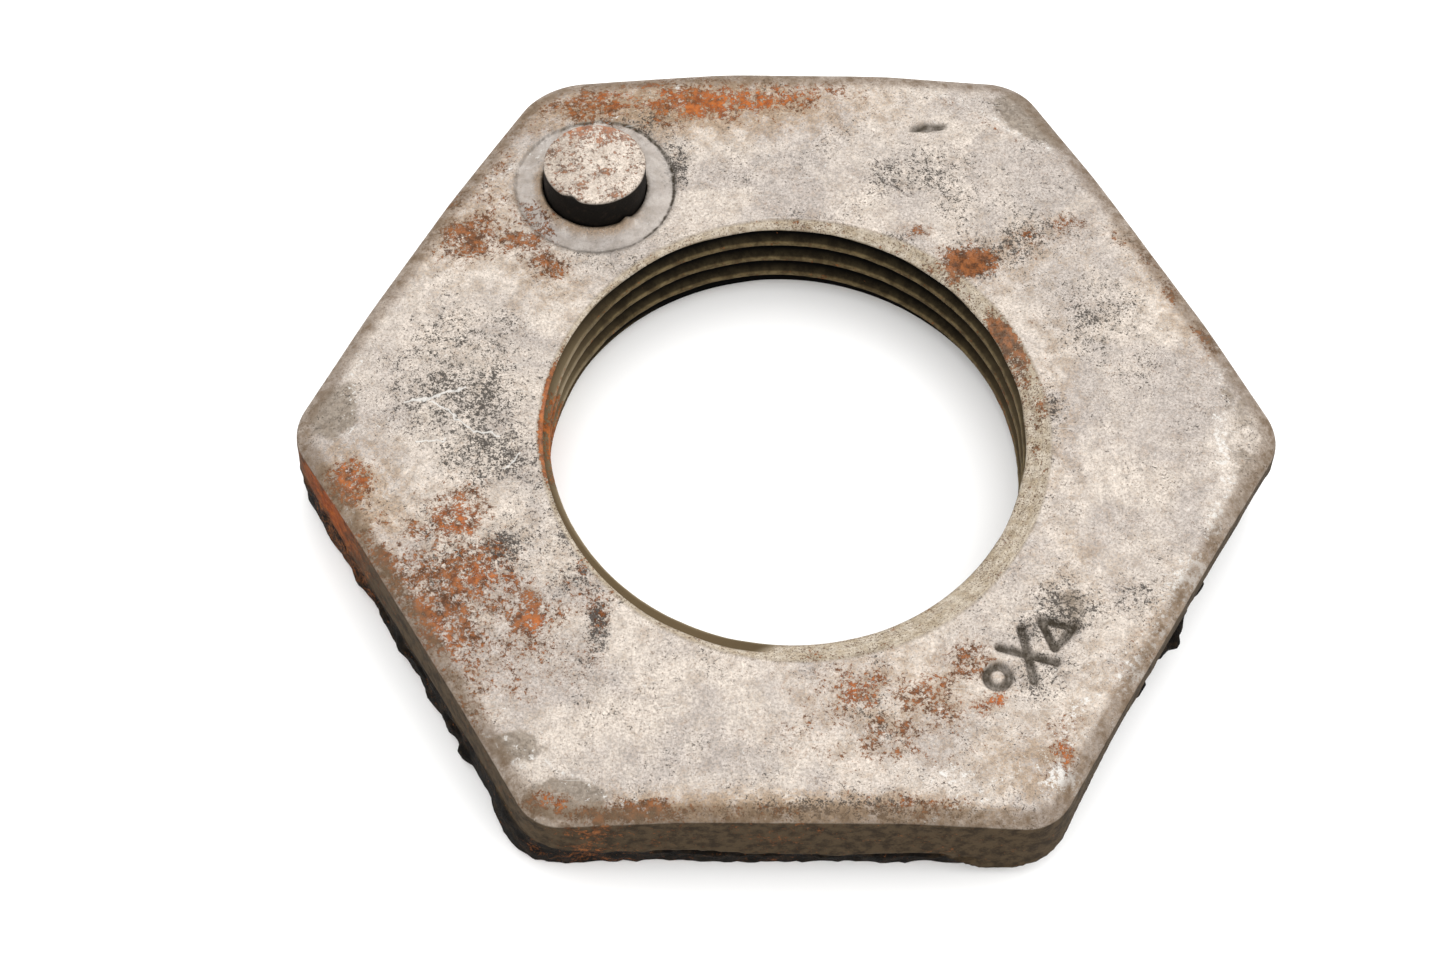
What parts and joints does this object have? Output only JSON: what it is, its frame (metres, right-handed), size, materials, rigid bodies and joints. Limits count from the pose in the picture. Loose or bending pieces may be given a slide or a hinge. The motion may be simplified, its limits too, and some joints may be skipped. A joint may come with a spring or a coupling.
{
  "type": "hex nut",
  "caption": "Thick hexagonal plate nut with a fine-threaded bore, a die-rolled top edge and a round lock pin standing beside the bore.",
  "frame": {"origin": "on the thread axis, in the plane of the bottom face", "axes": "+Z along the thread axis, out of the face that carries the pin; +X towards a corner of the hexagon; -Y out of a flat; the pin lies towards -X and +Y"},
  "size_m": [0.074, 0.065, 0.0121],
  "materials": {
    "plate_steel": "worn bare steel with mill scale, brown rust and orange rust",
    "pin_steel": "worn bare steel, brown rust on the end, black oxide on the side"
  },
  "bodies": {
    "root": {"nut_body": "plate_steel", "lock_pin": "pin_steel"}
  },
  "joints": []
}
